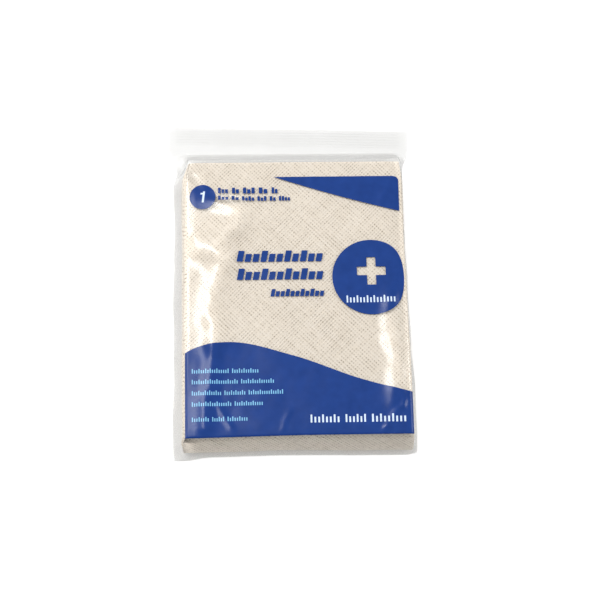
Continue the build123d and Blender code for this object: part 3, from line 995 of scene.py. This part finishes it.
def make_discs():
    """The roundel has a plain plus left unprinted, so that the cloth shows through it."""
    points, faces = [], []
    middle, level = ROUNDEL[0], ROUNDEL[1] + PLUS_RISE
    plus_end, disc_end = middle + PLUS_ARM, middle + ROUNDEL_RADIUS
    edges = [DISC_LOW[0], middle - PLUS_ARM, middle - PLUS_HALF, middle + PLUS_HALF, plus_end, disc_end]
    gaps = [0.0, PLUS_HALF, PLUS_ARM, PLUS_HALF, 0.0]
    for x0, x1, gap in zip(edges, edges[1:], gaps):
        x, low, high = disc_stations(ROUNDEL, ROUNDEL_RADIUS, x0, x1, 20)
        x = short_of_edge(x, plus_end, disc_end, DISC_HIGH[0])
        if gap:
            add_area(points, faces, x, low, np.full(len(x), level - gap))
            add_area(points, faces, x, np.full(len(x), level + gap), high)
        else:
            add_area(points, faces, x, low, high)
    print_piece("printed_roundel_ink", points, faces, INK, ["printed_roundel"])
    points, faces = [], []
    add_area(points, faces, *disc_stations(COUNT, COUNT_RADIUS, COUNT_LOW[0], COUNT_HIGH[0], 40))
    print_piece("printed_count_disc_ink", points, faces, INK, ["printed_count_disc"])


GOLDEN = 0.618034
WORD_GAP = 0.5  # between words, as a share of the line's height
SHORT_BLOCK = 0.72
BOLD = (0.66, 0.76)  # pitch of a word's blocks as a share of the line's height, and how much a block fills
THIN = (0.48, 0.46)


def word_blocks(name, lines, material, weight, lift=MARK_LIFT, slant=0.0, nodes=()):
    """Lines of words as plain upright blocks; lengths and heights follow the golden ratio."""
    points, faces = [], []
    spacing, fill = weight
    for (x0, x1, y0, y1), words in lines:
        tall = y1 - y0
        shares = np.array([0.75 + ((i + 1) * GOLDEN) % 1.0 for i in range(words)])
        gap = WORD_GAP * tall
        lengths = shares / shares.sum() * (x1 - x0 - gap * (words - 1))
        x = x0
        for word, length in enumerate(lengths):
            count = max(2, round(length / (spacing * tall)))
            pitch = length / count
            for i in range(count):
                full = i == 0 or ((i + 3 * word) * GOLDEN) % 1.0 > 0.68
                left, top = x + i * pitch, y0 + (1.0 if full else SHORT_BLOCK) * tall
                add_block(points, faces, left, left + fill * pitch, y0, top, lift, slant)
            x += length + gap
    print_piece(name, points, faces, material, nodes)


def make_marks():
    """The words are rows of plain blocks, and the small disc holds a numeral."""
    small = [((-29.2, -4.6, 36.3, 38.9), 5), ((-29.2, 0.4, 33.1, 35.1), 6)]
    bold = [((-22.0, 13.0, 6.9, 11.6), 1), ((-22.0, 13.0, -0.7, 4.0), 1), ((-8.6, 13.0, -7.8, -4.7), 1)]
    word_blocks("printed_small_lines_ink", small, INK, BOLD, INK_LIFT, nodes=["printed_bars"])
    word_blocks("printed_bold_lines_ink", bold, INK, BOLD, INK_LIFT, slant=0.2)
    pale = [((-40.0, -13.5, -39.3, -37.5), 2), ((-40.0, -7.5, -43.6, -41.8), 2),
            ((-40.0, -4.0, -48.1, -46.3), 3), ((-40.0, -12.0, -52.5, -50.7), 2),
            ((-40.0, -18.0, -58.6, -56.8), 3)]
    word_blocks("printed_pale_lines_ink", pale, PALE, THIN)
    word_blocks("printed_white_lines_ink", [((6.0, 44.0, -60.1, -56.9), 3), ((21.8, 42.0, -10.7, -7.8), 1)],
                WHITE, THIN)
    points, faces = [], []
    x, y = COUNT
    add_block(points, faces, x - 0.35, x + 0.45, y - 2.4, y + 2.4, slant=0.12)
    add_block(points, faces, x - 0.85, x + 0.15, y + 1.1, y + 1.8, slant=0.12)
    print_piece("printed_numeral_ink", points, faces, WHITE)


# --- the whole object ---------------------------------------------------------------------------

def make_object():
    """Every piece of the bag and the cloth, and the pins' metal."""
    cloth = folded_cloth()
    finish_piece(cloth, MUSLIN, "bandage",
                 ["bandage_outer_fold", "bandage_middle_fold", "bandage_inner_fold"])
    back = make_back_film()
    make_front_film()
    make_ribs("front_closure_strip", "mouth_front", LIP_Z - RIB_SUNK, -RIB_HEIGHT, 0.0, "front_closure_ribs")
    make_ribs("back_closure_strip", "bag", BACK_Z + RIB_SUNK, RIB_HEIGHT, RIB_PITCH / 2, "back_closure_ribs")
    make_wave()
    make_wedge()
    make_discs()
    make_marks()
    for name, made in frame["nodes"].items():
        if name.startswith("pin_"):
            made.data.materials.clear()
            made.data.materials.append(NICKEL)


FLOOR_HALF = 4000.0
FLOOR_Z = -0.02
# area lights that face the origin: name, place, width, height, watts
LIGHTS = [("streak_strip", (-330, 290, 870), 165, 640, 6.3),
          ("left_softbox", (-850, 0, 650), 500, 500, 6.8),
          ("right_softbox", (800, 60, 700), 500, 500, 7.5),
          ("back_softbox", (0, 1150, 800), 900, 320, 5.6),
          ("front_softbox", (-500, -900, 500), 400, 400, 0.9)]
WORLD_STRENGTH = 0.30


def area_light(name, place, width, height, watts):
    light = bpy.data.lights.new(name, "AREA")
    light.shape = "RECTANGLE"
    light.size, light.size_y, light.energy = width * MM, height * MM, watts
    made = bpy.data.objects.new(name, light)
    bpy.context.scene.collection.objects.link(made)
    made.location = Vector(place) * MM
    made.rotation_euler = (Vector((0, 0, 0)) - Vector(place)).to_track_quat("-Z", "Y").to_euler()


def make_stage():
    """A plain floor, soft lights and a pale surround."""
    sides = [(-1, -1), (1, -1), (1, 1), (-1, 1)]
    floor_points = [(FLOOR_HALF * x, FLOOR_HALF * y, FLOOR_Z) for x, y in sides]
    floor = mesh_object("floor", floor_points, [(0, 1, 2, 3)], smooth=False)
    floor.data.materials.append(plain_floor())
    for light in LIGHTS:
        area_light(*light)
    world = bpy.data.worlds.new("studio")
    world.use_nodes = True
    background = world.node_tree.nodes["Background"]
    background.inputs["Color"].default_value = (1, 1, 1, 1)
    background.inputs["Strength"].default_value = WORLD_STRENGTH
    bpy.context.scene.world = world
    bpy.context.scene.view_settings.view_transform = "Standard"


def make_camera():
    """Looks at AIM from above the near end, turned and rolled a little."""
    lift, turn, roll = (math.radians(v) for v in (VIEW_ELEVATION, VIEW_AZIMUTH, VIEW_ROLL))
    ahead = Vector((math.sin(turn) * math.cos(lift), math.cos(turn) * math.cos(lift), -math.sin(lift)))
    right = Vector((math.cos(turn), -math.sin(turn), 0))
    up = right.cross(ahead)
    right, up = (math.cos(roll) * right - math.sin(roll) * up, math.sin(roll) * right + math.cos(roll) * up)
    place = (Vector(AIM) - ahead * VIEW_DISTANCE) * MM
    data = bpy.data.cameras.new("camera")
    data.lens, data.sensor_width = VIEW_LENS, SENSOR
    data.clip_start, data.clip_end = 0.01, 50.0
    camera = bpy.data.objects.new("camera", data)
    camera.matrix_world = Matrix.Translation(place) @ Matrix((right, up, -ahead)).transposed().to_4x4()
    bpy.context.scene.collection.objects.link(camera)
    bpy.context.scene.camera = camera


make_camera()
make_object()
make_stage()
